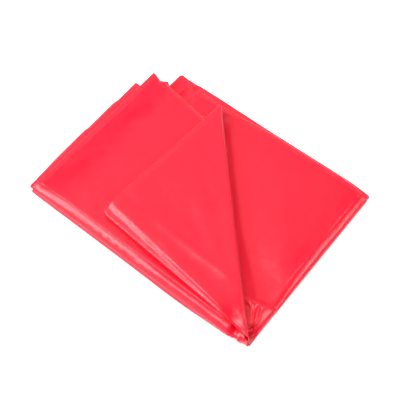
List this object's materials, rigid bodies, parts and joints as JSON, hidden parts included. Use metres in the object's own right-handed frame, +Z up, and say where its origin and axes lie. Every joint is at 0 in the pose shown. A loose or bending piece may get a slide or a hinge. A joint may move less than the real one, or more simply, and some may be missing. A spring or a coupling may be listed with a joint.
{
  "type": "folded kite sail cloth",
  "caption": "Thin coated sail cloth folded into a flat oblong packet with one corner turned over, stored ready to be opened out and fitted to a kite.",
  "frame": {"origin": "on the floor, under the middle of the packet's box, the loose thread included", "axes": "+X along the packet's long side, which the front crease follows to within 2 degrees, +Y away from the front crease towards the far edge, +Z up"},
  "size_m": [0.3187, 0.241, 0.0259],
  "materials": {
    "sail_cloth": "satin",
    "thread": "matte"
  },
  "bodies": {
    "base": {"base_leaf_bottom": "sail_cloth", "base_leaf_second": "sail_cloth", "base_leaf_third": "sail_cloth", "base_leaf_top": "sail_cloth", "corner_pleats": "sail_cloth", "front_crease": "sail_cloth", "loose_thread": "thread"},
    "cover": {"cover_leaf_lower": "sail_cloth", "cover_leaf_middle": "sail_cloth", "cover_leaf_upper": "sail_cloth", "corner_crease": "sail_cloth"},
    "corner": {"corner_leaf_lower": "sail_cloth", "corner_leaf_middle": "sail_cloth", "corner_leaf_upper": "sail_cloth"}
  },
  "joints": [
    {"name": "front_fold", "type": "hinge", "parent": "base", "child": "cover", "pos_m": [0, -0.11508, 0.01165], "axis": [0.9995, -0.0328, 0], "range_deg": [0, 160], "deforming": ["front_crease"]},
    {"name": "corner_fold", "type": "hinge", "parent": "cover", "child": "corner", "pos_m": [0.15826, -0.11192, 0.01885], "axis": [-0.6824, 0.731, 0], "range_deg": [0, 178], "deforming": ["corner_crease"]}
  ]
}
